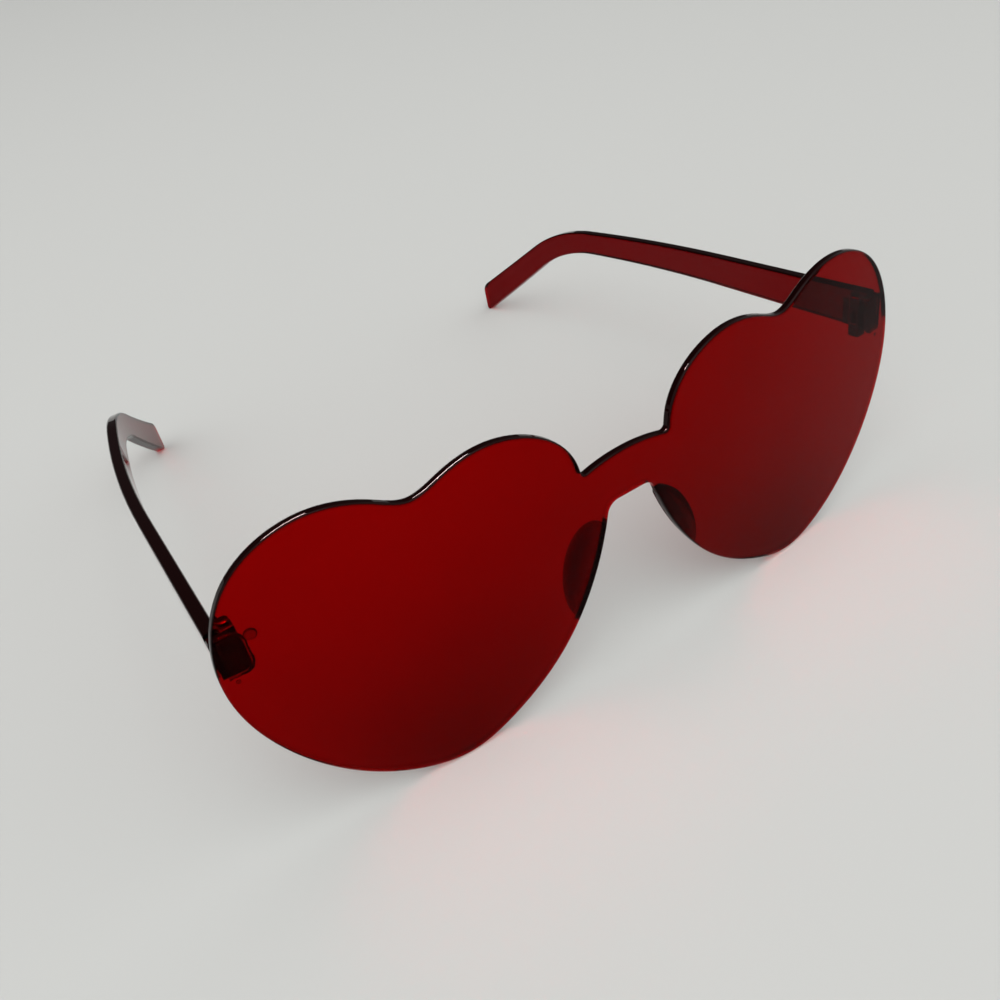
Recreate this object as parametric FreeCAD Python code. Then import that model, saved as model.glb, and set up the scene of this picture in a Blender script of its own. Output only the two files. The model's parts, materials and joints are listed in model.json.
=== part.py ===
import FreeCAD, Part
import math
import os

# Heart shaped sunglasses: one curved sheet cut to two joined hearts, with two folding temples.
# All sizes are millimetres and degrees. The pieces are drawn in the front's own frame: X across,
# Y from the front towards the ears, Z up the face. At the end the whole pair is tipped to stand
# on its heart tips and temple tips. Left and right are the wearer's, so left is at +X.

# Front sheet
FRONT_WIDTH = 150.7
FRONT_CURVE_RADIUS = 530.0
FRONT_THICKNESS = 2.0
FRONT_EDGE_ROUND = 0.6

# Hearts
HEART_HEIGHT = 61.3
LOBE_TOP = 25.2

# Bridge between the hearts
BRIDGE_WIDTH = 19.4
BRIDGE_CORNER_HEIGHT = 9.3
BRIDGE_TOP = 10.8
BRIDGE_CORNER_ROUND = 0.9
NOSE_ARCH_WIDTH = 9.8
NOSE_ARCH_TOP = 1.4
NOSE_ARCH_ROUND = 2.6

# Inner lobe of a heart, as (out from the bridge's corner, up)
INNER_SHOULDER = (3.3, 17.55)
INNER_LOBE = (16.0, 23.4)

# Notch of a heart, as (out from the heart's middle, up)
INNER_SLOPE = (-8.3, 21.75)
NOTCH = (-2.5, 20.1)
OUTER_SLOPE = (2.5, 22.3)

# Outer lobe and flank of a heart, as (in from the widest point, up)
OUTER_LOBE_INSET = 20.2
OUTER_SHOULDER = (7.6, 20.6)
WIDEST_HEIGHT = 2.3
UPPER_FLANK = (4.0, -13.6)

# Tip of a heart, as (out from the heart's middle, up from the tip), and the sides that lead to it,
# as (in from the widest point, up from the tip) and (out from the nose arch's corner, up from the tip)
LOWER_FLANK = (15.3, 8.0)
TIP_OUTER_SIDE = (7.15, 1.7)
TIP_OUT = -1.2
TIP_INNER_SIDE = (-10.15, 2.6)
NOSE_LOWER = (14.75, 11.05)

# Nose side of a heart, as (out from the nose arch's corner, up)
NOSE_MIDDLE = (5.7, -13.15)

# Nose pads: half ellipsoids behind the nose edges, each with a contact face that follows its edge
# and slopes outwards behind it. Their tops are measured as the nose side is
PAD_LENGTH = 19.6
PAD_WIDTH = 4.3
PAD_HEIGHT = 5.6
PAD_TOP = (1.9, -2.2)
PAD_LEAN = 21.0
PAD_SPLAY = 48.0
PAD_INSET = 0.1

# Temples
TEMPLE_THICKNESS = 2.4
TEMPLE_OUTSET = 0.85
TEMPLE_MIDDLE_HEIGHT = 6.2
TEMPLE_HEIGHT_AT_HINGE = 8.5
TEMPLE_HEIGHT_AT_BEND = 5.8
TEMPLE_HEIGHT_AT_TIP = 7.4
TEMPLE_LENGTH_TO_BEND = 101.0
TEMPLE_REACH_PAST_BEND = 34.0
TEMPLE_DROP = 33.8
TEMPLE_BEND_RADIUS = 37.8
TEMPLE_STRAIGHT = 42.1
TEMPLE_SIDE_RADIUS = 282.0
TEMPLE_TIP_ROUND = 3.6
TEMPLE_HEEL_ROUND = 0.9
TEMPLE_EDGE_ROUND = 0.5

# End pieces, glued behind the outer edges of the front
END_PIECE_HEIGHT = 7.2
END_PIECE_DEPTH = 1.4
END_PIECE_BORDER = 0.1
END_PIECE_ROUND = 1.8
GLUE_THICKNESS = 0.15
GLUE_MARGIN = 0.5

# Hinges: a front leaf with two knuckles, a temple leaf with one between them, and a screw. Each leaf
# is held by a tang sunk into its block or temple
HINGE_DROP = 0.7
KNUCKLE_RADIUS = 1.1
KNUCKLE_HEIGHT = 2.85
KNUCKLE_GAP = 0.12
BARREL_CLEARANCE = 0.2
BUTT_GAP = 0.1
LEAF_THICKNESS = 0.6
TEMPLE_LEAF_HEIGHT = 6.0
TANG_WIDTH = 1.2
TANG_HEIGHT = 4.4
TANG_DEPTH = 1.0
TANG_CLEARANCE = 0.03
SCREW_RADIUS = 0.5
SCREW_CLEARANCE = 0.05
SCREW_HEAD_RADIUS = 0.95
SCREW_HEAD_HEIGHT = 0.6
SCREW_SLOT_WIDTH = 0.3
SCREW_SLOT_DEPTH = 0.3

# Points closer than this are the same point, and this many steps level the feet
TOUCH = 0.01
LEVELLING_STEPS = 4


def vector(x, y, z):
    return FreeCAD.Vector(x, y, z)


def back_distance(x):
    """How far the back face of the front lies behind the middle of its front face."""
    return FRONT_CURVE_RADIUS - math.sqrt(BACK_RADIUS ** 2 - x ** 2)


# Places that follow from the sizes above
ORIGIN = vector(0, 0, 0)
X_AXIS = vector(1, 0, 0)
Y_AXIS = vector(0, 1, 0)
Z_AXIS = vector(0, 0, 1)
HALF_WIDTH = FRONT_WIDTH / 2
BRIDGE_X = BRIDGE_WIDTH / 2
ARCH_X = NOSE_ARCH_WIDTH / 2
HEART_MIDDLE_X = (BRIDGE_X + HALF_WIDTH) / 2
TIP_LEVEL = LOBE_TOP - HEART_HEIGHT
BACK_RADIUS = FRONT_CURVE_RADIUS - FRONT_THICKNESS
TEMPLE_OUTER_X = HALF_WIDTH - TEMPLE_OUTSET
TEMPLE_INNER_X = TEMPLE_OUTER_X - TEMPLE_THICKNESS
AXIS_X = TEMPLE_INNER_X - BARREL_CLEARANCE - KNUCKLE_RADIUS
END_PIECE_INNER_X = AXIS_X - KNUCKLE_RADIUS - END_PIECE_BORDER
REAR_Y = back_distance(TEMPLE_OUTER_X) + GLUE_THICKNESS + END_PIECE_DEPTH
AXIS_Y = REAR_Y + LEAF_THICKNESS + KNUCKLE_GAP + KNUCKLE_RADIUS
BUTT_Y = REAR_Y + BUTT_GAP
END_Y = BUTT_Y + TEMPLE_LENGTH_TO_BEND + TEMPLE_REACH_PAST_BEND
BARREL_HEIGHT = 3 * KNUCKLE_HEIGHT + 2 * KNUCKLE_GAP
HINGE_MIDDLE = TEMPLE_MIDDLE_HEIGHT - HINGE_DROP
TEMPLE_LEAF_Y = AXIS_Y + KNUCKLE_RADIUS + BARREL_CLEARANCE


def block(low, high):
    """A box between two corners."""
    size = high.sub(low)
    return Part.makeBox(size.x, size.y, size.z, low)


def upright(radius, x, y, low, high):
    """A cylinder standing along Z."""
    return Part.makeCylinder(radius, high - low, vector(x, y, low), Z_AXIS)


def rounded_wire(corners):
    """A closed wire in the side view through (y, z, radius) corners, each rounded by its radius."""
    starts = []
    ends = []
    middles = []
    count = len(corners)
    for i in range(count):
        y, z, radius = corners[i]
        here = vector(0, y, z)
        before = vector(0, corners[i - 1][0], corners[i - 1][1]).sub(here).normalize()
        after = vector(0, corners[(i + 1) % count][0], corners[(i + 1) % count][1]).sub(here).normalize()
        half = before.getAngle(after) / 2
        reach = radius / math.tan(half)
        inward = before.add(after).normalize()
        starts.append(here.add(before.multiply(reach)))
        ends.append(here.add(after.multiply(reach)))
        middles.append(here.add(inward.multiply(radius / math.sin(half) - radius)))
    edges = []
    for i in range(count):
        if corners[i][2] > 0:
            edges.append(Part.Arc(starts[i], middles[i], ends[i]).toShape())
        edges.append(Part.LineSegment(ends[i], starts[(i + 1) % count]).toShape())
    return Part.Wire(edges)


def curved_slab(inner_radius, outer_radius):
    """The part of an upright tube, as tall as the front, between two radii about the front's centre."""
    tall = 2 * HEART_HEIGHT
    tube = upright(outer_radius, 0, FRONT_CURVE_RADIUS, -tall, tall)
    if inner_radius > 0:
        tube = tube.cut(upright(inner_radius, 0, FRONT_CURVE_RADIUS, -tall, tall))
    return tube


def heart_curve(side):
    """The outline of one heart, from the bridge corner round to the top of the nose arch."""
    points = [(BRIDGE_X, BRIDGE_CORNER_HEIGHT)]
    points.extend((BRIDGE_X + out, up) for out, up in (INNER_SHOULDER, INNER_LOBE))
    points.extend((HEART_MIDDLE_X + out, up) for out, up in (INNER_SLOPE, NOTCH, OUTER_SLOPE))
    points.append((HALF_WIDTH - OUTER_LOBE_INSET, LOBE_TOP))
    points.append((HALF_WIDTH - OUTER_SHOULDER[0], OUTER_SHOULDER[1]))
    points.append((HALF_WIDTH, WIDEST_HEIGHT))
    points.append((HALF_WIDTH - UPPER_FLANK[0], UPPER_FLANK[1]))
    points.append((HALF_WIDTH - LOWER_FLANK[0], TIP_LEVEL + LOWER_FLANK[1]))
    points.append((HEART_MIDDLE_X + TIP_OUTER_SIDE[0], TIP_LEVEL + TIP_OUTER_SIDE[1]))
    points.append((HEART_MIDDLE_X + TIP_OUT, TIP_LEVEL))
    points.append((HEART_MIDDLE_X + TIP_INNER_SIDE[0], TIP_LEVEL + TIP_INNER_SIDE[1]))
    points.append((ARCH_X + NOSE_LOWER[0], TIP_LEVEL + NOSE_LOWER[1]))
    points.append((ARCH_X + NOSE_MIDDLE[0], NOSE_MIDDLE[1]))
    points.append((ARCH_X, NOSE_ARCH_TOP))
    curve = Part.BSplineCurve()
    curve.interpolate([vector(side * x, 0, z) for x, z in points])
    return curve.toShape()


def front_prism():
    """The outline of both hearts and the bridge, drawn straight back through the sheet."""
    left_corner = vector(BRIDGE_X, 0, BRIDGE_CORNER_HEIGHT)
    right_corner = vector(-BRIDGE_X, 0, BRIDGE_CORNER_HEIGHT)
    crown = Part.Arc(right_corner, vector(0, 0, BRIDGE_TOP), left_corner).toShape()
    arch = Part.LineSegment(vector(ARCH_X, 0, NOSE_ARCH_TOP), vector(-ARCH_X, 0, NOSE_ARCH_TOP)).toShape()
    edges = Part.__sortEdges__([crown, heart_curve(1), arch, heart_curve(-1)])
    depth = 2 * back_distance(HALF_WIDTH)
    prism = Part.Face(Part.Wire(edges)).extrude(Y_AXIS * depth)
    prism = round_upright_corners(prism, BRIDGE_X, BRIDGE_CORNER_HEIGHT, BRIDGE_CORNER_ROUND)
    return round_upright_corners(prism, ARCH_X, NOSE_ARCH_TOP, NOSE_ARCH_ROUND)


def round_upright_corners(prism, x, z, radius):
    """Round the two edges of a prism along Y that stand at (x, z) and (-x, z)."""
    edges = []
    for edge in prism.Edges:
        box = edge.BoundBox
        off_corner = abs(max(abs(box.XMin), abs(box.XMax)) - x) + abs(box.ZMax - z)
        if box.YLength > radius and off_corner < TOUCH:
            edges.append(edge)
    return prism.makeFillet(radius, edges)


def make_front(outline):
    """The sheet itself: the outline cut from a curved slab, with its rims polished round."""
    sheet = outline.common(curved_slab(BACK_RADIUS, FRONT_CURVE_RADIUS))
    rims = []
    for face in sheet.Faces:
        surface = face.Surface
        if isinstance(surface, Part.Cylinder) and surface.Radius > BACK_RADIUS - TOUCH:
            rims.extend(face.Edges)
    return sheet.makeFillet(FRONT_EDGE_ROUND, rims)


def make_nose_pad(outline):
    """The left pad: half an ellipsoid on the back of the front, sliced to lie along the nose."""
    lean = math.radians(PAD_LEAN)
    along = vector(math.sin(lean), 0, -math.cos(lean))
    across = vector(math.cos(lean), 0, math.sin(lean))
    middle = vector(ARCH_X + PAD_TOP[0], 0, PAD_TOP[1]).add(along * (PAD_LENGTH / 2))
    middle.y = back_distance(middle.x)
    long_axis = along * (PAD_LENGTH / 2)
    wide_axis = across * PAD_WIDTH
    matrix = FreeCAD.Matrix(
        long_axis.x, wide_axis.x, 0, middle.x,
        0, 0, PAD_HEIGHT, middle.y,
        long_axis.z, wide_axis.z, 0, middle.z,
        0, 0, 0, 1)
    body = Part.makeSphere(1.0).transformGeometry(matrix)
    slope = math.tan(math.radians(PAD_SPLAY))
    sloped = FreeCAD.Matrix(
        1, slope, 0, PAD_INSET - slope * middle.y,
        0, 1, 0, 0,
        0, 0, 1, 0,
        0, 0, 0, 1)
    body = body.common(outline.transformGeometry(sloped))
    return body.common(curved_slab(0, BACK_RADIUS))


def make_end_piece(outline):
    """The left end piece: a block flush with the edge of the front, slotted for the leaf's tang."""
    half = END_PIECE_HEIGHT / 2
    low = vector(END_PIECE_INNER_X, 0, TEMPLE_MIDDLE_HEIGHT - half)
    high = vector(TEMPLE_OUTER_X, REAR_Y, TEMPLE_MIDDLE_HEIGHT + half)
    body = block(low, high)
    inner_edges = [e for e in body.Edges if abs(e.BoundBox.XMax - low.x) + e.BoundBox.ZLength < TOUCH]
    body = body.makeFillet(END_PIECE_ROUND, inner_edges)
    body = body.common(curved_slab(0, BACK_RADIUS - GLUE_THICKNESS)).common(outline)
    return body.cut(front_tang(TANG_CLEARANCE))


def make_glue(outline):
    """The left film of glue between the front and its end piece, squeezed out a little all round."""
    half = END_PIECE_HEIGHT / 2 + GLUE_MARGIN
    low = vector(END_PIECE_INNER_X - GLUE_MARGIN, 0, TEMPLE_MIDDLE_HEIGHT - half)
    high = vector(TEMPLE_OUTER_X - FRONT_EDGE_ROUND, REAR_Y, TEMPLE_MIDDLE_HEIGHT + half)
    film = block(low, high).common(curved_slab(BACK_RADIUS - GLUE_THICKNESS, BACK_RADIUS))
    inset = outline.copy()
    inset.translate(X_AXIS * -FRONT_EDGE_ROUND)
    return film.common(inset)


def front_tang(clearance):
    """The tongue of the front leaf that is sunk into the end piece."""
    half_width = TANG_WIDTH / 2 + clearance
    half_height = TANG_HEIGHT / 2 + clearance
    low = vector(AXIS_X - half_width, REAR_Y - TANG_DEPTH - clearance, HINGE_MIDDLE - half_height)
    high = vector(AXIS_X + half_width, REAR_Y, HINGE_MIDDLE + half_height)
    return block(low, high)


def temple_tang(clearance):
    """The tongue of the temple leaf that is sunk into the temple."""
    half_width = TANG_WIDTH / 2 + clearance
    half_height = TANG_HEIGHT / 2 + clearance
    middle = TEMPLE_LEAF_Y + KNUCKLE_RADIUS
    low = vector(TEMPLE_INNER_X, middle - half_width, HINGE_MIDDLE - half_height)
    high = vector(TEMPLE_INNER_X + TANG_DEPTH + clearance, middle + half_width, HINGE_MIDDLE + half_height)
    return block(low, high)


def knuckle_levels():
    """Lowest and highest level of the three knuckles, from the bottom up."""
    base = HINGE_MIDDLE - BARREL_HEIGHT / 2
    step = KNUCKLE_HEIGHT + KNUCKLE_GAP
    return [(base + i * step, base + i * step + KNUCKLE_HEIGHT) for i in range(3)]


def screw_bore():
    """The hole for the hinge screw through all three knuckles."""
    half = BARREL_HEIGHT
    return upright(SCREW_RADIUS + SCREW_CLEARANCE, AXIS_X, AXIS_Y, HINGE_MIDDLE - half, HINGE_MIDDLE + half)


def make_front_leaf():
    """The left front leaf: a plate with a sunk tang and the two outer knuckles."""
    half = BARREL_HEIGHT / 2
    leaf = block(vector(AXIS_X - KNUCKLE_RADIUS, REAR_Y, HINGE_MIDDLE - half),
                 vector(AXIS_X + KNUCKLE_RADIUS, REAR_Y + LEAF_THICKNESS, HINGE_MIDDLE + half))
    leaf = leaf.fuse(front_tang(0))
    levels = knuckle_levels()
    for low, high in (levels[0], levels[2]):
        neck = block(vector(AXIS_X - KNUCKLE_RADIUS, REAR_Y, low),
                     vector(AXIS_X + KNUCKLE_RADIUS, AXIS_Y, high))
        leaf = leaf.fuse([neck, upright(KNUCKLE_RADIUS, AXIS_X, AXIS_Y, low, high)])
    return leaf.removeSplitter().cut(screw_bore())


def make_temple_leaf():
    """The left temple leaf: a plate on the temple's inner face with a sunk tang and the middle knuckle."""
    half = TEMPLE_LEAF_HEIGHT / 2
    leaf = block(vector(TEMPLE_INNER_X - LEAF_THICKNESS, TEMPLE_LEAF_Y, HINGE_MIDDLE - half),
                 vector(TEMPLE_INNER_X, TEMPLE_LEAF_Y + 2 * KNUCKLE_RADIUS, HINGE_MIDDLE + half))
    low, high = knuckle_levels()[1]
    neck = block(vector(AXIS_X, AXIS_Y, low), vector(TEMPLE_INNER_X, TEMPLE_LEAF_Y + LEAF_THICKNESS, high))
    knuckle = upright(KNUCKLE_RADIUS, AXIS_X, AXIS_Y, low, high)
    leaf = leaf.fuse([temple_tang(0), neck, knuckle]).removeSplitter()
    return leaf.cut(screw_bore())


def make_screw():
    """The left hinge screw: a slotted head on the top knuckle and a shank through the barrel."""
    low = knuckle_levels()[0][0]
    high = knuckle_levels()[2][1]
    top = high + SCREW_HEAD_HEIGHT
    screw = upright(SCREW_RADIUS, AXIS_X, AXIS_Y, low, high)
    screw = screw.fuse(upright(SCREW_HEAD_RADIUS, AXIS_X, AXIS_Y, high, top)).removeSplitter()
    slot = block(vector(AXIS_X - SCREW_HEAD_RADIUS, AXIS_Y - SCREW_SLOT_WIDTH / 2, top - SCREW_SLOT_DEPTH),
                 vector(AXIS_X + SCREW_HEAD_RADIUS, AXIS_Y + SCREW_SLOT_WIDTH / 2, top))
    return screw.cut(slot)


def temple_side_view():
    """The temple's outline from the side: a tapering bar that drops behind the ear."""
    drop = math.radians(TEMPLE_DROP)
    bend_y = BUTT_Y + TEMPLE_LENGTH_TO_BEND
    rise = TEMPLE_HEIGHT_AT_BEND / 2
    lift_y = rise * math.tan(drop / 2)
    end_z = TEMPLE_MIDDLE_HEIGHT - TEMPLE_REACH_PAST_BEND * math.tan(drop)
    end_half = TEMPLE_HEIGHT_AT_TIP / 2 / math.cos(drop)
    butt_half = TEMPLE_HEIGHT_AT_HINGE / 2
    return rounded_wire([
        (BUTT_Y, TEMPLE_MIDDLE_HEIGHT + butt_half, 0),
        (bend_y + lift_y, TEMPLE_MIDDLE_HEIGHT + rise, TEMPLE_BEND_RADIUS + rise),
        (END_Y, end_z + end_half, TEMPLE_TIP_ROUND),
        (END_Y, end_z - end_half, TEMPLE_HEEL_ROUND),
        (bend_y - lift_y, TEMPLE_MIDDLE_HEIGHT - rise, TEMPLE_BEND_RADIUS - rise),
        (BUTT_Y, TEMPLE_MIDDLE_HEIGHT - butt_half, 0),
    ])


def temple_plan():
    """The temple from above: straight by the hinge, then curving in behind the head."""
    turn_y = BUTT_Y + TEMPLE_STRAIGHT
    centre = vector(TEMPLE_INNER_X - TEMPLE_SIDE_RADIUS, turn_y, 0)
    sweep = math.asin((END_Y + TEMPLE_THICKNESS - turn_y) / TEMPLE_SIDE_RADIUS)
    outer_radius = TEMPLE_SIDE_RADIUS + TEMPLE_THICKNESS

    def on_arc(radius, angle):
        return centre.add(vector(radius * math.cos(angle), radius * math.sin(angle), 0))

    inner = [on_arc(TEMPLE_SIDE_RADIUS, sweep * part) for part in (0, 0.5, 1)]
    outer = [on_arc(outer_radius, sweep * part) for part in (0, 0.5, 1)]
    inner_butt = vector(TEMPLE_INNER_X, BUTT_Y, 0)
    outer_butt = vector(TEMPLE_OUTER_X, BUTT_Y, 0)
    return Part.Wire([
        Part.LineSegment(inner_butt, inner[0]).toShape(),
        Part.Arc(inner[0], inner[1], inner[2]).toShape(),
        Part.LineSegment(inner[2], outer[2]).toShape(),
        Part.Arc(outer[2], outer[1], outer[0]).toShape(),
        Part.LineSegment(outer[0], outer_butt).toShape(),
        Part.LineSegment(outer_butt, inner_butt).toShape(),
    ])


def make_temple():
    """The left temple: its side view and its plan cut from one bar, edges rounded, slotted for its leaf."""
    side = Part.Face(temple_side_view()).extrude(X_AXIS * FRONT_WIDTH)
    tall = 2 * END_Y
    plan = Part.Face(temple_plan())
    plan.translate(Z_AXIS * (-tall / 2))
    temple = side.common(plan.extrude(Z_AXIS * tall))
    edges = [e for e in temple.Edges if e.BoundBox.YMax > BUTT_Y + TEMPLE_EDGE_ROUND]
    return temple.makeFillet(TEMPLE_EDGE_ROUND, edges).cut(temple_tang(TANG_CLEARANCE))


def tight_box(shape):
    """The exact box round a shape."""
    return shape.optimalBoundingBox(False, False)


def tipped(shape, angle):
    """A copy of a shape tipped back about the X axis."""
    copy = shape.copy()
    copy.rotate(ORIGIN, X_AXIS, -angle)
    return copy


def resting_angle(front, temple):
    """The tip at which the heart tips and the temple tips stand on one level."""
    angle = 0.0
    for _ in range(LEVELLING_STEPS):
        front_low = tight_box(tipped(front, angle)).ZMin
        temple_low = tight_box(tipped(temple, angle)).ZMin
        angle += math.degrees(math.atan2(temple_low - front_low, END_Y))
    return angle


outline = front_prism()
front = make_front(outline)
left_pieces = {
    "nose_pad": make_nose_pad(outline),
    "end_piece": make_end_piece(outline),
    "end_piece_glue": make_glue(outline),
    "front_hinge_leaf": make_front_leaf(),
    "temple_hinge_leaf": make_temple_leaf(),
    "hinge_screw": make_screw(),
    "temple": make_temple(),
}
nodes = {"front_lens": front}
for name, shape in left_pieces.items():
    nodes[name + "_left"] = shape
    nodes[name + "_right"] = shape.mirror(ORIGIN, X_AXIS)

rest = resting_angle(front, left_pieces["temple"])
nodes = {name: tipped(shape, rest) for name, shape in nodes.items()}
feet = tight_box(Part.makeCompound([nodes["front_lens"], nodes["temple_left"]]))
shift = vector(0, -(feet.YMin + feet.YMax) / 2, -feet.ZMin)
os.makedirs("parts", exist_ok=True)
for name, shape in nodes.items():
    shape.translate(shift)
    shape.exportStep("parts/" + name + ".step")

hinge = Part.Vertex(vector(AXIS_X, AXIS_Y, HINGE_MIDDLE))
hinge = tipped(hinge, rest).Point.add(shift)
print("rest angle", rest, "shift", shift, "hinge", hinge)
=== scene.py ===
import json
import math

import bmesh
import bpy
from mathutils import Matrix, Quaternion, Vector


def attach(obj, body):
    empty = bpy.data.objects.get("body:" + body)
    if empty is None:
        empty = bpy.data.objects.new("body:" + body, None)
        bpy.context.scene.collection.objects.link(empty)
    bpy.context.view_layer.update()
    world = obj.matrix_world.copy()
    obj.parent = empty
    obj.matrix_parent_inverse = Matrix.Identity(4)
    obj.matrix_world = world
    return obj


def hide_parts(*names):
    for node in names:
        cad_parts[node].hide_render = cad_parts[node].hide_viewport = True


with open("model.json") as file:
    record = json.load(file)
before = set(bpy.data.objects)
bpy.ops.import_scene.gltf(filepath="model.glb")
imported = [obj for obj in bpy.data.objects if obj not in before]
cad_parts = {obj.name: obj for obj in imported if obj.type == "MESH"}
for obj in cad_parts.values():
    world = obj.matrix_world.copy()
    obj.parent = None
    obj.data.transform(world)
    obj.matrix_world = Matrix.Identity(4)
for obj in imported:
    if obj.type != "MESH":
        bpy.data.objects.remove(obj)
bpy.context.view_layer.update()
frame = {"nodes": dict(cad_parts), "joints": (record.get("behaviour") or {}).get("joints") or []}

# Front sheet
# One sheet of transparent red polycarbonate, bent to a shallow curve and cut to two joined hearts.
# The cut edges are polished, and the long way through the sheet there makes them almost black; here
# that darkness is painted shade, near black on the upper rims and the nose edges and lighter on the
# lower rims.
SHEET_TINT = (0.87, 0.004, 0.006, 1.0)
SHEET_ABSORPTION = (0.6, 0.0, 0.0, 1.0)
SHEET_DENSITY = 1000.0
PLASTIC_IOR = 1.12
RED_GLINT = (1.0, 0.25, 0.25, 1.0)
WEAKEST_DYE = 0.9
SMEAR_SIZE = 0.018
CLEAN_ROUGHNESS = 0.01
SMEARED_ROUGHNESS = 0.08
WAVE_HEIGHT = 0.00012
SCRATCH_SLANT = math.radians(35.0)
SCRATCH_FINENESS = (60.0, 60.0, 2600.0)
SCRATCH_DEPTH = 0.00002
SCRATCH_STRENGTH = 0.08
# Painted shade: the near-black colour mixed into the rims and the upper temple edges
PAINTED_EDGE_SHADE = (0.006, 0.0004, 0.0004, 1.0)
EDGE_GLOSS_IOR = 1.38
EDGE_GLOSS = 0.22
EDGE_ROUGHNESS = 0.02
EDGE_OPAQUE_FROM = 0.6
FACE_TURN = 0.998
RIM_TURN = 0.6
CLEAR_BELOW = 0.0025
DARK_ABOVE = 0.007
LOWER_RIM_SHADE_SHARE = 0.25
PAD_SHADE_REACH = 0.0095
PAD_SHADE_FADE = 0.002
FOLD_AXIS = Vector(frame["joints"][0]["axis"])
CURVE_CENTRE = Vector((0.0, 0.45725, -0.02366))
pad_corners = [Vector(corner) for corner in frame["nodes"]["nose_pad_left"].bound_box]
PAD_CENTRE = sum(pad_corners, Vector()) / len(pad_corners)


def red_plastic(name, tint, absorption, density):
    """Polished transparent red plastic that darkens with thickness, handled and faintly scratched."""
    material = bpy.data.materials.new(name)
    material.use_nodes = True
    nodes = material.node_tree.nodes
    links = material.node_tree.links
    shader = nodes["Principled BSDF"]
    shader.inputs["Transmission Weight"].default_value = 1.0
    shader.inputs["IOR"].default_value = PLASTIC_IOR
    shader.inputs["Specular Tint"].default_value = RED_GLINT
    place = nodes.new("ShaderNodeTexCoord")

    # Slow variation of the dye
    dye = nodes.new("ShaderNodeTexNoise")
    dye.inputs["Scale"].default_value = 0.5 / SMEAR_SIZE
    dye.inputs["Detail"].default_value = 2.0
    links.new(place.outputs["Object"], dye.inputs["Vector"])
    shade = nodes.new("ShaderNodeValToRGB")
    shade.color_ramp.elements[0].position = 0.3
    shade.color_ramp.elements[0].color = tuple(WEAKEST_DYE * c for c in tint[:3]) + (1.0,)
    shade.color_ramp.elements[1].position = 0.7
    shade.color_ramp.elements[1].color = tint
    links.new(dye.outputs["Fac"], shade.inputs["Fac"])
    links.new(shade.outputs["Color"], shader.inputs["Base Color"])

    # Finger smears that dull the gloss in patches
    smears = nodes.new("ShaderNodeTexNoise")
    smears.inputs["Scale"].default_value = 1.0 / SMEAR_SIZE
    smears.inputs["Detail"].default_value = 6.0
    smears.inputs["Distortion"].default_value = 0.6
    links.new(place.outputs["Object"], smears.inputs["Vector"])
    dulled = nodes.new("ShaderNodeMapRange")
    dulled.inputs["From Min"].default_value = 0.5
    dulled.inputs["From Max"].default_value = 0.8
    dulled.inputs["To Min"].default_value = CLEAN_ROUGHNESS
    dulled.inputs["To Max"].default_value = SMEARED_ROUGHNESS
    links.new(smears.outputs["Fac"], dulled.inputs["Value"])
    links.new(dulled.outputs["Result"], shader.inputs["Roughness"])

    # A slow wave left by the bending, and hairline scratches from wiping
    wave = nodes.new("ShaderNodeTexNoise")
    wave.inputs["Scale"].default_value = 0.3 / SMEAR_SIZE
    wave.inputs["Detail"].default_value = 1.0
    links.new(place.outputs["Object"], wave.inputs["Vector"])
    wavy = nodes.new("ShaderNodeBump")
    wavy.inputs["Distance"].default_value = WAVE_HEIGHT
    links.new(wave.outputs["Fac"], wavy.inputs["Height"])
    wiped = nodes.new("ShaderNodeMapping")
    wiped.inputs["Rotation"].default_value = (0.0, SCRATCH_SLANT, 0.0)
    wiped.inputs["Scale"].default_value = SCRATCH_FINENESS
    links.new(place.outputs["Object"], wiped.inputs["Vector"])
    hairlines = nodes.new("ShaderNodeTexNoise")
    hairlines.inputs["Scale"].default_value = 1.0
    hairlines.inputs["Detail"].default_value = 3.0
    links.new(wiped.outputs["Vector"], hairlines.inputs["Vector"])
    scratched = nodes.new("ShaderNodeBump")
    scratched.inputs["Strength"].default_value = SCRATCH_STRENGTH
    scratched.inputs["Distance"].default_value = SCRATCH_DEPTH
    links.new(hairlines.outputs["Fac"], scratched.inputs["Height"])
    links.new(wavy.outputs["Normal"], scratched.inputs["Normal"])
    links.new(scratched.outputs["Normal"], shader.inputs["Normal"])

    # Light lost on its way through the plastic
    depth = nodes.new("ShaderNodeVolumeAbsorption")
    depth.inputs["Color"].default_value = absorption
    depth.inputs["Density"].default_value = density
    links.new(depth.outputs["Volume"], nodes["Material Output"].inputs["Volume"])
    return material


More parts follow.
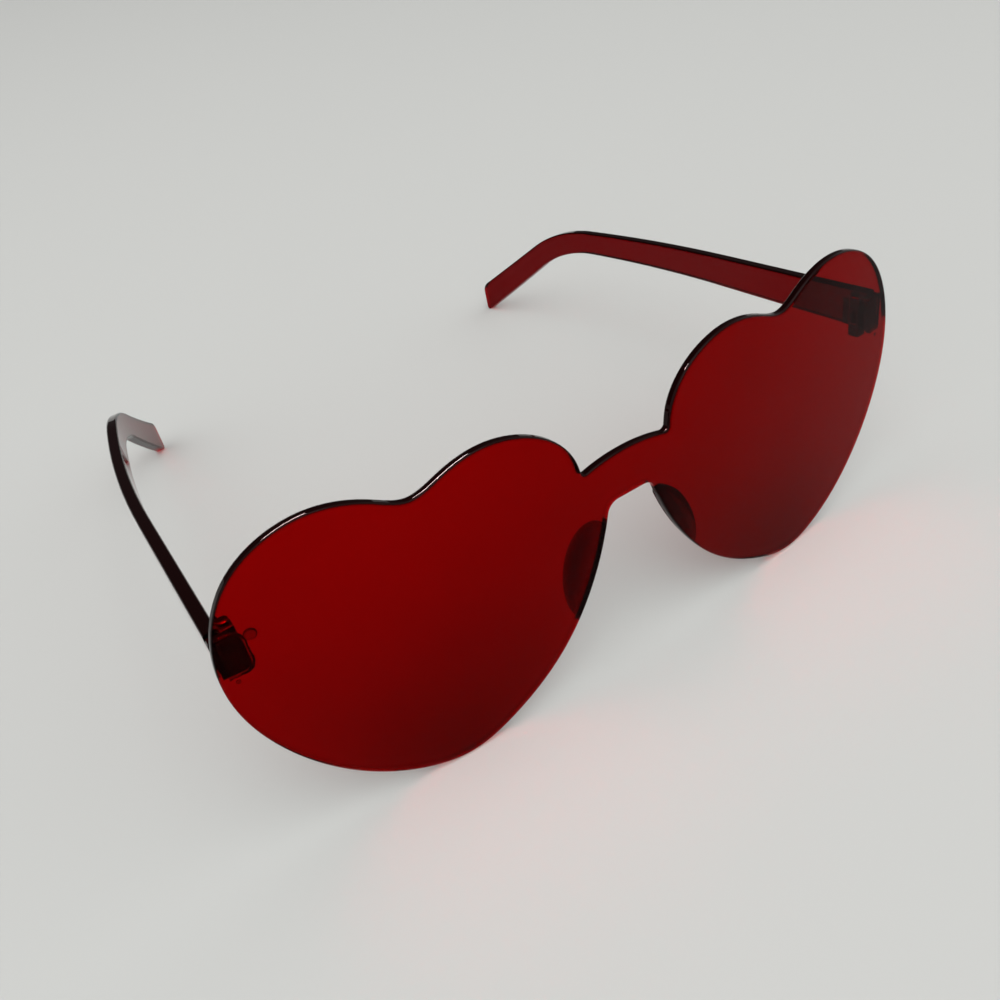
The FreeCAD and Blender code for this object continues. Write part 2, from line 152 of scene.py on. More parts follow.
def paint_edge_shade(material, edge):
    """Paint shade into the plastic: turn it black and opaque where a mask says its edge is, and gloss
    it hard at its darkest.
    """
    nodes = material.node_tree.nodes
    links = material.node_tree.links
    shader = nodes["Principled BSDF"]
    shader.inputs["Coat IOR"].default_value = EDGE_GLOSS_IOR
    shader.inputs["Coat Roughness"].default_value = EDGE_ROUGHNESS

    # The painted shade goes into the colour first
    dye = shader.inputs["Base Color"].links[0].from_socket
    deep = nodes.new("ShaderNodeMapRange")
    deep.inputs["From Max"].default_value = EDGE_OPAQUE_FROM
    links.new(edge, deep.inputs["Value"])
    shade = nodes.new("ShaderNodeMix")
    shade.data_type = "RGBA"
    shade.inputs["B"].default_value = PAINTED_EDGE_SHADE
    links.new(deep.outputs["Result"], shade.inputs["Factor"])
    links.new(dye, shade.inputs["A"])
    links.new(shade.outputs["Result"], shader.inputs["Base Color"])

    # Then the painted edge stops letting light through, and the polish shows
    clear = nodes.new("ShaderNodeMapRange")
    clear.inputs["From Min"].default_value = 1.0
    clear.inputs["From Max"].default_value = EDGE_OPAQUE_FROM
    links.new(edge, clear.inputs["Value"])
    links.new(clear.outputs["Result"], shader.inputs["Transmission Weight"])
    gloss = nodes.new("ShaderNodeMapRange")
    gloss.inputs["From Min"].default_value = EDGE_OPAQUE_FROM
    gloss.inputs["To Max"].default_value = EDGE_GLOSS
    links.new(edge, gloss.inputs["Value"])
    links.new(gloss.outputs["Result"], shader.inputs["Coat Weight"])


def painted_rim_shade_mask(material):
    """Where to paint shade: one on the rims, where the surface has turned away from the curved faces
    of the sheet.
    """
    nodes = material.node_tree.nodes
    links = material.node_tree.links
    place = nodes.new("ShaderNodeTexCoord")

    # How far the surface has turned from the radius of the curve
    spoke = nodes.new("ShaderNodeVectorMath")
    spoke.operation = "SUBTRACT"
    spoke.inputs[1].default_value = CURVE_CENTRE
    links.new(place.outputs["Object"], spoke.inputs[0])
    along = nodes.new("ShaderNodeVectorMath")
    along.operation = "CROSS_PRODUCT"
    along.inputs[1].default_value = FOLD_AXIS
    links.new(spoke.outputs["Vector"], along.inputs[0])
    across = nodes.new("ShaderNodeVectorMath")
    across.operation = "CROSS_PRODUCT"
    across.inputs[1].default_value = FOLD_AXIS
    links.new(along.outputs["Vector"], across.inputs[0])
    facing = nodes.new("ShaderNodeVectorMath")
    facing.operation = "NORMALIZE"
    links.new(across.outputs["Vector"], facing.inputs[0])
    turned = nodes.new("ShaderNodeVectorMath")
    turned.operation = "DOT_PRODUCT"
    links.new(facing.outputs["Vector"], turned.inputs[0])
    links.new(place.outputs["Normal"], turned.inputs[1])
    either_way = nodes.new("ShaderNodeMath")
    either_way.operation = "ABSOLUTE"
    links.new(turned.outputs["Value"], either_way.inputs[0])
    edge = nodes.new("ShaderNodeMapRange")
    edge.inputs["From Min"].default_value = FACE_TURN
    edge.inputs["From Max"].default_value = RIM_TURN
    links.new(either_way.outputs["Value"], edge.inputs["Value"])

    # The painted shade is full on the upper rims and on the nose edges by the welded pads, and lighter
    # on the lower rims
    height = nodes.new("ShaderNodeVectorMath")
    height.operation = "DOT_PRODUCT"
    height.inputs[1].default_value = FOLD_AXIS
    links.new(spoke.outputs["Vector"], height.inputs[0])
    upper = nodes.new("ShaderNodeMapRange")
    upper.interpolation_type = "SMOOTHSTEP"
    upper.inputs["From Min"].default_value = CLEAR_BELOW
    upper.inputs["From Max"].default_value = DARK_ABOVE
    upper.inputs["To Min"].default_value = LOWER_RIM_SHADE_SHARE
    links.new(height.outputs["Value"], upper.inputs["Value"])
    either_half = nodes.new("ShaderNodeVectorMath")
    either_half.operation = "ABSOLUTE"
    links.new(place.outputs["Object"], either_half.inputs[0])
    from_pad = nodes.new("ShaderNodeVectorMath")
    from_pad.operation = "DISTANCE"
    from_pad.inputs[1].default_value = [abs(v) for v in PAD_CENTRE]
    links.new(either_half.outputs["Vector"], from_pad.inputs[0])
    welded = nodes.new("ShaderNodeMapRange")
    welded.interpolation_type = "SMOOTHSTEP"
    welded.inputs["From Min"].default_value = PAD_SHADE_REACH + PAD_SHADE_FADE
    welded.inputs["From Max"].default_value = PAD_SHADE_REACH
    links.new(from_pad.outputs["Value"], welded.inputs["Value"])
    dark_part = nodes.new("ShaderNodeMath")
    dark_part.operation = "MAXIMUM"
    links.new(upper.outputs["Result"], dark_part.inputs[0])
    links.new(welded.outputs["Result"], dark_part.inputs[1])
    both = nodes.new("ShaderNodeMath")
    both.operation = "MULTIPLY"
    links.new(edge.outputs["Result"], both.inputs[0])
    links.new(dark_part.outputs["Value"], both.inputs[1])
    return both.outputs["Value"]


def dress(node, material):
    """Give a node of the frame its finish."""
    frame["nodes"][node].material_slots[0].material = material


sheet_plastic = red_plastic("polished_red_sheet", SHEET_TINT, SHEET_ABSORPTION, SHEET_DENSITY)
# Painted shade on the rims, darkest on the upper rims and the nose edges
paint_edge_shade(sheet_plastic, painted_rim_shade_mask(sheet_plastic))
dress("front_lens", sheet_plastic)

# Nose pads
# Two clear red pads moulded apart from the sheet and welded behind its nose edges.
# They are thicker than the sheet, so they look darker through it.
PAD_TINT = (0.45, 0.003, 0.005, 1.0)
PAD_ABSORPTION = (0.6, 0.0, 0.0, 1.0)
PAD_DENSITY = 800.0

pad_plastic = red_plastic("moulded_pad_red", PAD_TINT, PAD_ABSORPTION, PAD_DENSITY)
for side in ("left", "right"):
    dress("nose_pad_" + side, pad_plastic)

# End pieces
# Two small moulded blocks behind the outer edges of the hearts, which take the hinges.
# Their dye is so dense that they read as almost black.
BLOCK_TINT = (0.012, 0.001, 0.001, 1.0)
BLOCK_ABSORPTION = (0.1, 0.0, 0.0, 1.0)
BLOCK_DENSITY = 2500.0

block_plastic = red_plastic("dense_block_red", BLOCK_TINT, BLOCK_ABSORPTION, BLOCK_DENSITY)
block_plastic.node_tree.nodes["Principled BSDF"].inputs["Transmission Weight"].default_value = 0.0
for side in ("left", "right"):
    dress("end_piece_" + side, block_plastic)

# Glue under the end pieces
# A thin film of clear glue holds each block to the sheet. Some of it is squeezed out as an uneven
# bead round the block, and a drop or two has run beside it and set there.
GLUE_TINT = (0.75, 0.55, 0.5, 1.0)
GLUE_SHADE = 0.7
GLUE_IOR = 1.47
GLUE_SMOOTHEST = 0.03
GLUE_DULLEST = 0.2
GLUE_SEED = 3.0
BEAD_RADIUS = 0.00026
BEAD_UNEVENNESS = 0.00034
BEAD_CORNER = 0.0018
BEAD_STEP = 0.00012
BEAD_SIDES = 14
CORNER_STEPS = 8
LUMP_SIZE = 0.0011
DROP_FLATNESS = 0.3
DROP_SEGMENTS = 40
DROP_RINGS = 20
FILM_SHARE = 0.8
FILM_MERGE = 1e-7
BLOCK_INNER = -0.00125
BLOCK_TOP = 0.00435
BLOCK_BOTTOM = -0.00295
BEAD_OUTER = 0.0029
SHEET_BACK = -0.00376
SHEET_SLOPE = 0.1345
GLUE_DROPS = {
    "left": ((0.0024, -0.0045, 0.0004), (-0.0021, 0.0044, 0.0003)),
    "right": ((-0.0025, 0.0032, 0.0011), (0.0019, -0.0043, 0.00045)),
}

glue = bpy.data.materials.new("set_clear_glue")
glue.use_nodes = True
glue_nodes = glue.node_tree.nodes
glue_shader = glue_nodes["Principled BSDF"]
glue_shader.inputs["Transmission Weight"].default_value = 1.0
glue_shader.inputs["IOR"].default_value = GLUE_IOR
glue_place = glue_nodes.new("ShaderNodeTexCoord")
glue_cloud = glue_nodes.new("ShaderNodeTexNoise")
glue_cloud.inputs["Scale"].default_value = 1.0 / LUMP_SIZE
glue_cloud.inputs["Detail"].default_value = 3.0
glue.node_tree.links.new(glue_place.outputs["Object"], glue_cloud.inputs["Vector"])
glue_shade = glue_nodes.new("ShaderNodeValToRGB")
glue_shade.color_ramp.elements[0].color = tuple(GLUE_SHADE * c for c in GLUE_TINT[:3]) + (1.0,)
glue_shade.color_ramp.elements[1].color = GLUE_TINT
glue.node_tree.links.new(glue_cloud.outputs["Fac"], glue_shade.inputs["Fac"])
glue.node_tree.links.new(glue_shade.outputs["Color"], glue_shader.inputs["Base Color"])
glue_dull = glue_nodes.new("ShaderNodeMapRange")
glue_dull.inputs["To Min"].default_value = GLUE_SMOOTHEST
glue_dull.inputs["To Max"].default_value = GLUE_DULLEST
glue.node_tree.links.new(glue_cloud.outputs["Fac"], glue_dull.inputs["Value"])
glue.node_tree.links.new(glue_dull.outputs["Result"], glue_shader.inputs["Roughness"])


def beside_hinge(side, out, back, up):
    """A point by a hinge: out from the nose, back along the temple and up its axis from its middle."""
    joint = next(j for j in frame["joints"] if j["name"] == side + "_temple_fold")
    upward = Vector((0.0, abs(joint["axis"][1]), abs(joint["axis"][2])))
    backward = Vector((0.0, upward.z, -upward.y))
    outward = Vector((math.copysign(1.0, joint["pos_m"][0]), 0.0, 0.0))
    return Vector(joint["pos_m"]) + outward * out + backward * back + upward * up


def on_sheet_back(side, out, up):
    """A point on the back of the sheet by a hinge."""
    return beside_hinge(side, out, SHEET_BACK + SHEET_SLOPE * out, up)


def tree_input(tree, name, kind, value):
    """Add a named input to a Geometry Nodes tree."""
    socket = tree.interface.new_socket(name, in_out="INPUT", socket_type=kind)
    socket.default_value = value


def set_inputs(modifier, values):
    """Set the inputs of a Geometry Nodes modifier by their names."""
    for item in modifier.node_group.interface.items_tree:
        if item.item_type == "SOCKET" and item.in_out == "INPUT" and item.name in values:
            modifier[item.identifier] = values[item.name]


def grown(name, start, tree, values):
    """A plain mesh object made by running a Geometry Nodes tree on a starting mesh."""
    seedling = bpy.data.objects.new(name + "_start", start)
    bpy.context.scene.collection.objects.link(seedling)
    modifier = seedling.modifiers.new(tree.name, "NODES")
    modifier.node_group = tree
    set_inputs(modifier, values)
    bpy.context.view_layer.update()
    seen = seedling.evaluated_get(bpy.context.evaluated_depsgraph_get())
    mesh = bpy.data.meshes.new_from_object(seen)
    mesh.name = name
    bpy.data.objects.remove(seedling)
    piece = bpy.data.objects.new(name, mesh)
    bpy.context.scene.collection.objects.link(piece)
    return piece


def glue_tree():
    """An uneven bead along the edges of a mesh, and flat drops on its loose points."""
    tree = bpy.data.node_groups.new("squeezed_out_glue", "GeometryNodeTree")
    tree.interface.new_socket("Geometry", in_out="INPUT", socket_type="NodeSocketGeometry")
    tree.interface.new_socket("Geometry", in_out="OUTPUT", socket_type="NodeSocketGeometry")
    tree_input(tree, "Bead radius", "NodeSocketFloat", BEAD_RADIUS)
    tree_input(tree, "Unevenness", "NodeSocketFloat", BEAD_UNEVENNESS)
    tree_input(tree, "Corner", "NodeSocketFloat", BEAD_CORNER)
    tree_input(tree, "Step", "NodeSocketFloat", BEAD_STEP)
    tree_input(tree, "Facing", "NodeSocketVector", (0.0, 1.0, 0.0))
    tree_input(tree, "Seed", "NodeSocketFloat", 0.0)
    nodes = tree.nodes
    links = tree.links
    given = nodes.new("NodeGroupInput")
    result = nodes.new("NodeGroupOutput")

    # Drops are the points that have a size
    size = nodes.new("GeometryNodeInputNamedAttribute")
    size.data_type = "FLOAT"
    size.inputs["Name"].default_value = "drop_size"
    is_drop = nodes.new("FunctionNodeCompare")
    is_drop.operation = "GREATER_THAN"
    links.new(size.outputs["Attribute"], is_drop.inputs["A"])
    parted = nodes.new("GeometryNodeSeparateGeometry")
    links.new(given.outputs["Geometry"], parted.inputs["Geometry"])
    links.new(is_drop.outputs["Result"], parted.inputs["Selection"])

    # The bead, swelling and thinning along its route
    path = nodes.new("GeometryNodeMeshToCurve")
    links.new(parted.outputs["Inverted"], path.inputs["Mesh"])
    bent = nodes.new("GeometryNodeFilletCurve")
    bent.mode = "POLY"
    bent.inputs["Count"].default_value = CORNER_STEPS
    links.new(path.outputs["Curve"], bent.inputs["Curve"])
    links.new(given.outputs["Corner"], bent.inputs["Radius"])
    stepped = nodes.new("GeometryNodeResampleCurve")
    stepped.mode = "LENGTH"
    links.new(bent.outputs["Curve"], stepped.inputs["Curve"])
    links.new(given.outputs["Step"], stepped.inputs["Length"])
    lumps = nodes.new("ShaderNodeTexNoise")
    lumps.noise_dimensions = "4D"
    lumps.inputs["Scale"].default_value = 1.0 / LUMP_SIZE
    lumps.inputs["Detail"].default_value = 2.0
    where = nodes.new("GeometryNodeInputPosition")
    links.new(where.outputs["Position"], lumps.inputs["Vector"])
    links.new(given.outputs["Seed"], lumps.inputs["W"])
    swell = nodes.new("ShaderNodeMapRange")
    swell.inputs["From Min"].default_value = 0.3
    swell.inputs["From Max"].default_value = 0.7
    links.new(lumps.outputs["Fac"], swell.inputs["Value"])
    links.new(given.outputs["Bead radius"], swell.inputs["To Min"])
    fattest = nodes.new("ShaderNodeMath")
    links.new(given.outputs["Bead radius"], fattest.inputs[0])
    links.new(given.outputs["Unevenness"], fattest.inputs[1])
    links.new(fattest.outputs["Value"], swell.inputs["To Max"])
    thick = nodes.new("GeometryNodeSetCurveRadius")
    links.new(stepped.outputs["Curve"], thick.inputs["Curve"])
    links.new(swell.outputs["Result"], thick.inputs["Radius"])
    ring = nodes.new("GeometryNodeCurvePrimitiveCircle")
    ring.inputs["Resolution"].default_value = BEAD_SIDES
    ring.inputs["Radius"].default_value = 1.0
    bead = nodes.new("GeometryNodeCurveToMesh")
    bead.inputs["Fill Caps"].default_value = True
    links.new(thick.outputs["Curve"], bead.inputs["Curve"])
    links.new(ring.outputs["Curve"], bead.inputs["Profile Curve"])
    links.new(swell.outputs["Result"], bead.inputs["Scale"])

    # The drops, flattened against the sheet
    ball = nodes.new("GeometryNodeMeshUVSphere")
    ball.inputs["Segments"].default_value = DROP_SEGMENTS
    ball.inputs["Rings"].default_value = DROP_RINGS
    ball.inputs["Radius"].default_value = 1.0
    spots = nodes.new("GeometryNodeMeshToPoints")
    links.new(parted.outputs["Selection"], spots.inputs["Mesh"])
    upright = nodes.new("FunctionNodeAlignRotationToVector")
    upright.axis = "Z"
    links.new(given.outputs["Facing"], upright.inputs["Vector"])
    flat = nodes.new("ShaderNodeVectorMath")
    flat.operation = "SCALE"
    flat.inputs[0].default_value = (1.0, 1.0, DROP_FLATNESS)
    links.new(size.outputs["Attribute"], flat.inputs["Scale"])
    drops = nodes.new("GeometryNodeInstanceOnPoints")
    links.new(spots.outputs["Points"], drops.inputs["Points"])
    links.new(ball.outputs["Mesh"], drops.inputs["Instance"])
    links.new(upright.outputs["Rotation"], drops.inputs["Rotation"])
    links.new(flat.outputs["Vector"], drops.inputs["Scale"])

    joined = nodes.new("GeometryNodeJoinGeometry")
    links.new(bead.outputs["Mesh"], joined.inputs["Geometry"])
    links.new(drops.outputs["Instances"], joined.inputs["Geometry"])
    smooth = nodes.new("GeometryNodeSetShadeSmooth")
    links.new(joined.outputs["Geometry"], smooth.inputs["Geometry"])
    plain = nodes.new("GeometryNodeRealizeInstances")
    links.new(smooth.outputs["Geometry"], plain.inputs["Geometry"])
    finish = nodes.new("GeometryNodeSetMaterial")
    finish.inputs["Material"].default_value = glue
    links.new(plain.outputs["Geometry"], finish.inputs["Geometry"])
    links.new(finish.outputs["Geometry"], result.inputs["Geometry"])
    return tree


def glue_start(side):
    """The bead's route round three sides of a block, and the loose points where drops set."""
    route = ((BEAD_OUTER, BLOCK_TOP), (BLOCK_INNER, BLOCK_TOP),
             (BLOCK_INNER, BLOCK_BOTTOM), (BEAD_OUTER, BLOCK_BOTTOM))
    drops = GLUE_DROPS[side]
    points = [on_sheet_back(side, out, up) for out, up in route]
    points.extend(on_sheet_back(side, *drop[:2]) for drop in drops)
    mesh = bpy.data.meshes.new("glue_route_" + side)
    mesh.from_pydata(points, [(i, i + 1) for i in range(len(route) - 1)], [])
    sizes = mesh.attributes.new("drop_size", "FLOAT", "POINT")
    for i, drop in enumerate(drops):
        sizes.data[len(route) + i].value = drop[2]
    return mesh


squeezed_out = glue_tree()
for number, side in enumerate(("left", "right")):
    facing = beside_hinge(side, -SHEET_SLOPE, 1.0, 0.0) - beside_hinge(side, 0.0, 0.0, 0.0)
    bead = grown("glue_bead_" + side, glue_start(side), squeezed_out,
                 {"Facing": facing, "Seed": GLUE_SEED + number})
    film = bmesh.new()
    film.from_mesh(frame["nodes"]["end_piece_glue_" + side].data)
    bmesh.ops.remove_doubles(film, verts=film.verts, dist=FILM_MERGE)
    centre = sum((corner.co for corner in film.verts), Vector()) / len(film.verts)
    for corner in film.verts:
        corner.co = centre + (corner.co - centre) * FILM_SHARE
    film.from_mesh(bead.data)
    for face in film.faces:
        face.material_index = 0
    film.to_mesh(bead.data)
    film.free()
    bead.data.materials.clear()
    bead.data.materials.append(glue)
    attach(bead, "front")
    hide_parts("end_piece_glue_" + side)

# Hinge leaves
# Each hinge is stamped and rolled from sheet metal and black nickel plated. The front leaf has two
# knuckles and the temple leaf one between them, and each has a tongue sunk into its block or temple.
PLATING = (0.035, 0.032, 0.032, 1.0)
BARE_EDGE = (0.3, 0.28, 0.26, 1.0)
RUBBED_GAIN = 1.8
RUBBED_FINENESS = 900.0
PLATED_SMOOTHEST = 0.18
LEAF_DULLEST = 0.38
WORN_DULLEST = 0.35
GRAIN_LENGTH = 0.004
GRAIN_WIDTH = 0.00008
GRAIN_DEPTH = 0.00001
GRAIN_STRENGTH = 0.3
STAMPED_EDGE = 0.00006
METAL_MERGE = 1e-6
FLAT_WITHIN = math.radians(2.0)
BROKEN_FROM = math.radians(40.0)
SHARP_FROM = math.radians(25.0)


def plated_metal(name, colour, dullest):
    """Black plated metal with a fine drawn grain and rubbed patches."""
    material = bpy.data.materials.new(name)
    material.use_nodes = True
    nodes = material.node_tree.nodes
    links = material.node_tree.links
    shader = nodes["Principled BSDF"]
    shader.inputs["Metallic"].default_value = 1.0
    place = nodes.new("ShaderNodeTexCoord")
    drawn = nodes.new("ShaderNodeMapping")
    drawn.inputs["Scale"].default_value = (1.0 / GRAIN_WIDTH, 1.0 / GRAIN_LENGTH, 1.0 / GRAIN_WIDTH)
    links.new(place.outputs["Object"], drawn.inputs["Vector"])
    grain = nodes.new("ShaderNodeTexNoise")
    grain.inputs["Scale"].default_value = 1.0
    grain.inputs["Detail"].default_value = 4.0
    links.new(drawn.outputs["Vector"], grain.inputs["Vector"])
    rubbed = nodes.new("ShaderNodeTexNoise")
    rubbed.inputs["Scale"].default_value = RUBBED_FINENESS
    rubbed.inputs["Detail"].default_value = 4.0
    links.new(place.outputs["Object"], rubbed.inputs["Vector"])
    shade = nodes.new("ShaderNodeValToRGB")
    shade.color_ramp.elements[0].position = 0.35
    shade.color_ramp.elements[0].color = colour
    shade.color_ramp.elements[1].position = 0.75
    shade.color_ramp.elements[1].color = tuple(RUBBED_GAIN * c for c in colour[:3]) + (1.0,)
    links.new(rubbed.outputs["Fac"], shade.inputs["Fac"])
    links.new(shade.outputs["Color"], shader.inputs["Base Color"])
    dulled = nodes.new("ShaderNodeMapRange")
    dulled.inputs["To Min"].default_value = PLATED_SMOOTHEST
    dulled.inputs["To Max"].default_value = dullest
    links.new(grain.outputs["Fac"], dulled.inputs["Value"])
    links.new(dulled.outputs["Result"], shader.inputs["Roughness"])
    lined = nodes.new("ShaderNodeBump")
    lined.inputs["Strength"].default_value = GRAIN_STRENGTH
    lined.inputs["Distance"].default_value = GRAIN_DEPTH
    links.new(grain.outputs["Fac"], lined.inputs["Height"])
    links.new(lined.outputs["Normal"], shader.inputs["Normal"])
    return material


def softened_copy(name, node, edge, body, finishes):
    """Replace a metal node by a copy with broken edges, where the plating has worn through."""
    mesh = bpy.data.meshes.new(name)
    shell = bmesh.new()
    shell.from_mesh(frame["nodes"][node].data)
    bmesh.ops.remove_doubles(shell, verts=shell.verts, dist=METAL_MERGE)
    bmesh.ops.dissolve_limit(shell, angle_limit=FLAT_WITHIN, verts=shell.verts, edges=shell.edges)
    shell.to_mesh(mesh)
    shell.free()
    for finish in finishes:
        mesh.materials.append(finish)
    piece = bpy.data.objects.new(name, mesh)
    bpy.context.scene.collection.objects.link(piece)
    broken = piece.modifiers.new("broken_edge", "BEVEL")
    broken.width = edge
    broken.segments = 2
    broken.limit_method = "ANGLE"
    broken.angle_limit = BROKEN_FROM
    broken.material = 1
    bpy.context.view_layer.update()
    seen = piece.evaluated_get(bpy.context.evaluated_depsgraph_get())
    piece.modifiers.clear()
    piece.data = bpy.data.meshes.new_from_object(seen)
    piece.data.set_sharp_from_angle(angle=SHARP_FROM)
    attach(piece, body)
    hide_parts(node)


leaf_finishes = (plated_metal("black_nickel_leaf", PLATING, LEAF_DULLEST),
                 plated_metal("worn_leaf_edge", BARE_EDGE, WORN_DULLEST))
for side in ("left", "right"):
    softened_copy("front_leaf_" + side, "front_hinge_leaf_" + side, STAMPED_EDGE,
                  "front", leaf_finishes)
    softened_copy("temple_leaf_" + side, "temple_hinge_leaf_" + side, STAMPED_EDGE,
                  side + "_arm", leaf_finishes)

# Hinge screws
# A turned steel screw with a slotted head goes down through the three knuckles of each hinge.
# It is plated like the leaves, and the driver has rubbed the slot bright.
SCREW_PLATING = (0.06, 0.056, 0.055, 1.0)
SCREW_DULLEST = 0.32
DRIVER_RUBBED = 0.3
TURNED_EDGE = 0.00005

screw_finishes = (plated_metal("black_nickel_screw", SCREW_PLATING, SCREW_DULLEST),
                  plated_metal("rubbed_screw_edge", BARE_EDGE, DRIVER_RUBBED))
for side in ("left", "right"):
    softened_copy("screw_" + side, "hinge_screw_" + side, TURNED_EDGE,
                  "front", screw_finishes)

# Temples
# Two slim bars of clear dark red plastic, cut from sheet, bent in behind the head and down at the ear,
# and polished. They fold in on the hinges, the wearer's right one over the left.
TEMPLE_TINT = (0.60, 0.008, 0.018, 1.0)
TEMPLE_ABSORPTION = (0.5, 0.0, 0.0, 1.0)
TEMPLE_DENSITY = 850.0
TEMPLE_IOR = 1.25
TEMPLE_TO_BEND = 0.0992
TEMPLE_RAISE = 0.0007
TEMPLE_DROP = math.radians(33.8)
SIDE_TURN = 0.25
UPPER_TURN = 0.7
MIDDLE_FADE = 0.001
LOWER_EDGE_SHADE_SHARE = 0.15


def painted_upper_edge_shade_mask(material):
    """Where to paint shade on a temple: one on the edges above its middle line, which runs level and
    then drops at the ear.
    """
    nodes = material.node_tree.nodes
    links = material.node_tree.links
    place = nodes.new("ShaderNodeTexCoord")
    turned = nodes.new("ShaderNodeVectorMath")
    turned.operation = "DOT_PRODUCT"
    turned.inputs[1].default_value = FOLD_AXIS
    links.new(place.outputs["Normal"], turned.inputs[0])
    either_way = nodes.new("ShaderNodeMath")
    either_way.operation = "ABSOLUTE"
    links.new(turned.outputs["Value"], either_way.inputs[0])
    edge = nodes.new("ShaderNodeMapRange")
    edge.inputs["From Min"].default_value = SIDE_TURN
    edge.inputs["From Max"].default_value = UPPER_TURN
    links.new(either_way.outputs["Value"], edge.inputs["Value"])

    # Height over the middle line, which falls away behind the bend
    spoke = nodes.new("ShaderNodeVectorMath")
    spoke.operation = "SUBTRACT"
    spoke.inputs[1].default_value = beside_hinge("left", 0.0, TEMPLE_TO_BEND, TEMPLE_RAISE)
    links.new(place.outputs["Object"], spoke.inputs[0])
    height = nodes.new("ShaderNodeVectorMath")
    height.operation = "DOT_PRODUCT"
    height.inputs[1].default_value = FOLD_AXIS
    links.new(spoke.outputs["Vector"], height.inputs[0])
    back = nodes.new("ShaderNodeVectorMath")
    back.operation = "DOT_PRODUCT"
    back.inputs[1].default_value = (0.0, FOLD_AXIS.z, -FOLD_AXIS.y)
    links.new(spoke.outputs["Vector"], back.inputs[0])
    past_bend = nodes.new("ShaderNodeMath")
    past_bend.operation = "MAXIMUM"
    past_bend.inputs[1].default_value = 0.0
    links.new(back.outputs["Value"], past_bend.inputs[0])
    above = nodes.new("ShaderNodeMath")
    above.operation = "MULTIPLY_ADD"
    above.inputs[1].default_value = math.tan(TEMPLE_DROP)
    links.new(past_bend.outputs["Value"], above.inputs[0])
    links.new(height.outputs["Value"], above.inputs[2])
    upper = nodes.new("ShaderNodeMapRange")
    upper.inputs["From Min"].default_value = -MIDDLE_FADE
    upper.inputs["From Max"].default_value = MIDDLE_FADE
    upper.inputs["To Min"].default_value = LOWER_EDGE_SHADE_SHARE
    links.new(above.outputs["Value"], upper.inputs["Value"])
    both = nodes.new("ShaderNodeMath")
    both.operation = "MULTIPLY"
    links.new(edge.outputs["Result"], both.inputs[0])
    links.new(upper.outputs["Result"], both.inputs[1])
    return both.outputs["Value"]


temple_plastic = red_plastic("polished_temple_red", TEMPLE_TINT, TEMPLE_ABSORPTION, TEMPLE_DENSITY)
temple_plastic.node_tree.nodes["Principled BSDF"].inputs["IOR"].default_value = TEMPLE_IOR
# Painted shade on the temples: near black on the edges above the middle line, a little on the lower
# edges
paint_edge_shade(temple_plastic, painted_upper_edge_shade_mask(temple_plastic))
for side in ("left", "right"):
    dress("temple_" + side, temple_plastic)

# Studio
# A plain pale floor under a soft box. The room is pale to the eye, and its light falls off behind.
# A thin bright strip high at the back shows only as highlights on the polished rims.
FLOOR_COLOUR = (0.62, 0.625, 0.605, 1.0)
FLOOR_RADIUS = 4.0
FLOOR_SIDES = 96
FLOOR_ROUGHNESS = 0.9
ROOM_BRIGHT = 0.95
ROOM_DIM = 0.06
ROOM_SEEN = 0.62
DIMS_FROM = 0.2
DIMS_TO = 0.6
SOFT_BOX_PLACE = (-0.3, -0.5, 1.4)
SOFT_BOX_SIZE = 1.6
SOFT_BOX_POWER = 10.0
STRIP_PLACE = (-0.19, 0.5, 0.93)
STRIP_LENGTH = 0.7
STRIP_WIDTH = 0.12
STRIP_POWER = 40.0

bpy.ops.mesh.primitive_circle_add(vertices=FLOOR_SIDES, radius=FLOOR_RADIUS,
                                  fill_type="NGON", location=(0, 0, 0))
floor = bpy.context.object
floor.name = "floor"
paper = bpy.data.materials.new("floor_paper")
paper.use_nodes = True
paper_shader = paper.node_tree.nodes["Principled BSDF"]
paper_shader.inputs["Base Color"].default_value = FLOOR_COLOUR
paper_shader.inputs["Roughness"].default_value = FLOOR_ROUGHNESS
paper_shader.inputs["Specular IOR Level"].default_value = 0.0
floor.data.materials.append(paper)

world = bpy.data.worlds.new("studio")
bpy.context.scene.world = world
world.use_nodes = True
room_nodes = world.node_tree.nodes
room_links = world.node_tree.links
room_nodes["Background"].inputs["Color"].default_value = (1.0, 1.0, 1.0, 1.0)

# The room's light, which falls off towards the back
direction = room_nodes.new("ShaderNodeTexCoord")
parts = room_nodes.new("ShaderNodeSeparateXYZ")
room_links.new(direction.outputs["Generated"], parts.inputs["Vector"])
backwards = room_nodes.new("ShaderNodeMapRange")
backwards.interpolation_type = "SMOOTHSTEP"
backwards.inputs["From Min"].default_value = DIMS_FROM
backwards.inputs["From Max"].default_value = DIMS_TO
backwards.inputs["To Min"].default_value = ROOM_BRIGHT
backwards.inputs["To Max"].default_value = ROOM_DIM
room_links.new(parts.outputs["Y"], backwards.inputs["Value"])

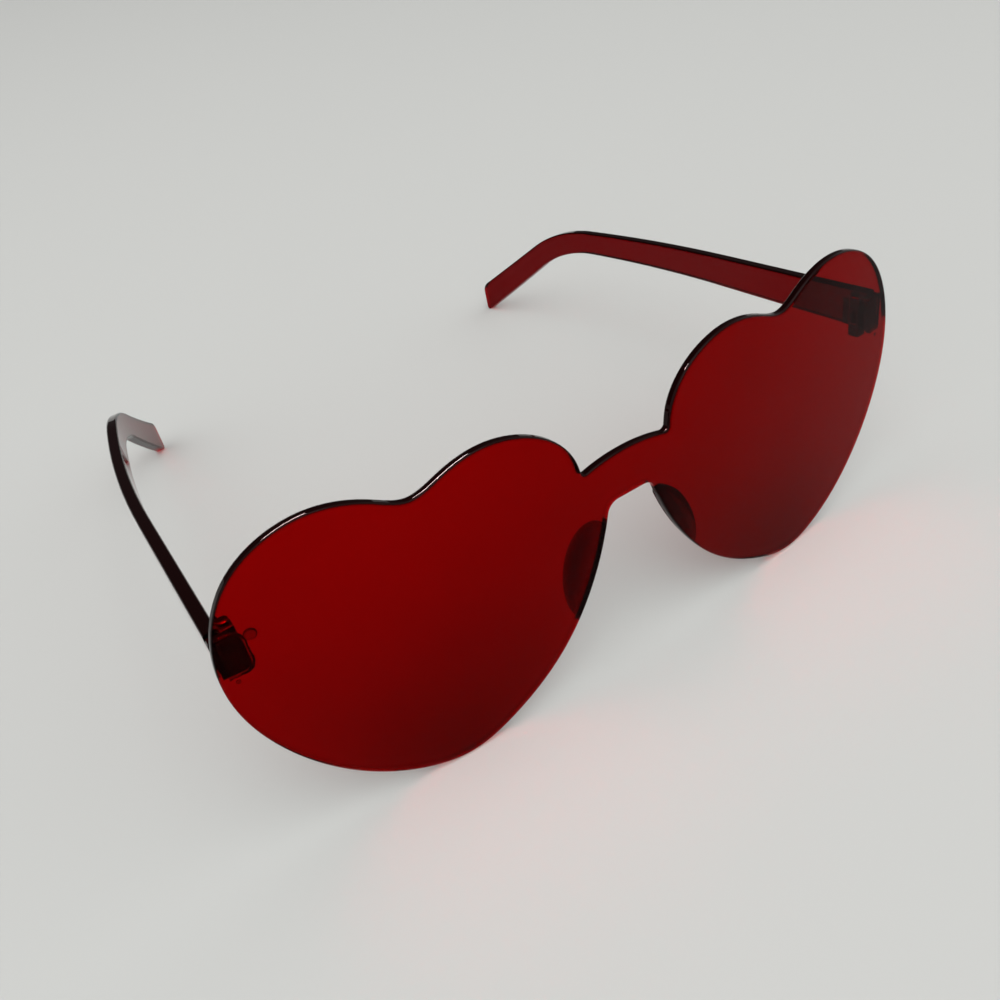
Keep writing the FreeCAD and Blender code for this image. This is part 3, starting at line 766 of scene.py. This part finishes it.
# The even pale room that is seen straight or through the plastic
ray = room_nodes.new("ShaderNodeLightPath")
seen = room_nodes.new("ShaderNodeMath")
seen.operation = "MAXIMUM"
room_links.new(ray.outputs["Is Camera Ray"], seen.inputs[0])
room_links.new(ray.outputs["Is Transmission Ray"], seen.inputs[1])
straight = room_nodes.new("ShaderNodeMath")
straight.operation = "LESS_THAN"
straight.inputs[1].default_value = 0.5
room_links.new(ray.outputs["Diffuse Depth"], straight.inputs[0])
pale = room_nodes.new("ShaderNodeMath")
pale.operation = "MULTIPLY"
room_links.new(seen.outputs["Value"], pale.inputs[0])
room_links.new(straight.outputs["Value"], pale.inputs[1])
strength = room_nodes.new("ShaderNodeMix")
strength.inputs["B"].default_value = ROOM_SEEN
room_links.new(pale.outputs["Value"], strength.inputs["Factor"])
room_links.new(backwards.outputs["Result"], strength.inputs["A"])
room_links.new(strength.outputs["Result"], room_nodes["Background"].inputs["Strength"])


def soft_lamp(name, place, width, height, power):
    """A rectangular lamp turned towards the object."""
    lamp = bpy.data.lights.new(name, "AREA")
    lamp.shape = "RECTANGLE"
    lamp.size = width
    lamp.size_y = height
    lamp.energy = power
    holder = bpy.data.objects.new(name, lamp)
    bpy.context.scene.collection.objects.link(holder)
    holder.location = place
    holder.rotation_euler = (-Vector(place)).to_track_quat("-Z", "Y").to_euler()
    return holder


soft_lamp("soft_box", SOFT_BOX_PLACE, SOFT_BOX_SIZE, SOFT_BOX_SIZE, SOFT_BOX_POWER)
strip = soft_lamp("strip", STRIP_PLACE, STRIP_LENGTH, STRIP_WIDTH, STRIP_POWER)
strip.visible_diffuse = False
strip.visible_transmission = False

# Camera
# A short lens close before the wearer's right heart, looking down on the glasses
# and rolled a little to one side.
CAMERA_PLACE = Vector((-0.077438, -0.162378, 0.138497))
CAMERA_AIM = Vector((-0.011557, -0.041496, 0.025))
CAMERA_ROLL = math.radians(-8.806)
CAMERA_SENSOR = 36.0
CAMERA_LENS = 31.636
CAMERA_NEAREST = 0.005

camera = bpy.data.cameras.new("camera")
camera.sensor_width = CAMERA_SENSOR
camera.lens = CAMERA_LENS
camera.clip_start = CAMERA_NEAREST
camera_object = bpy.data.objects.new("camera", camera)
bpy.context.scene.collection.objects.link(camera_object)
camera_object.location = CAMERA_PLACE
aim = (CAMERA_AIM - CAMERA_PLACE).to_track_quat("-Z", "Y")
camera_object.rotation_euler = (aim @ Quaternion((0.0, 0.0, 1.0), CAMERA_ROLL)).to_euler()
bpy.context.scene.camera = camera_object
bpy.context.scene.view_settings.view_transform = "Standard"
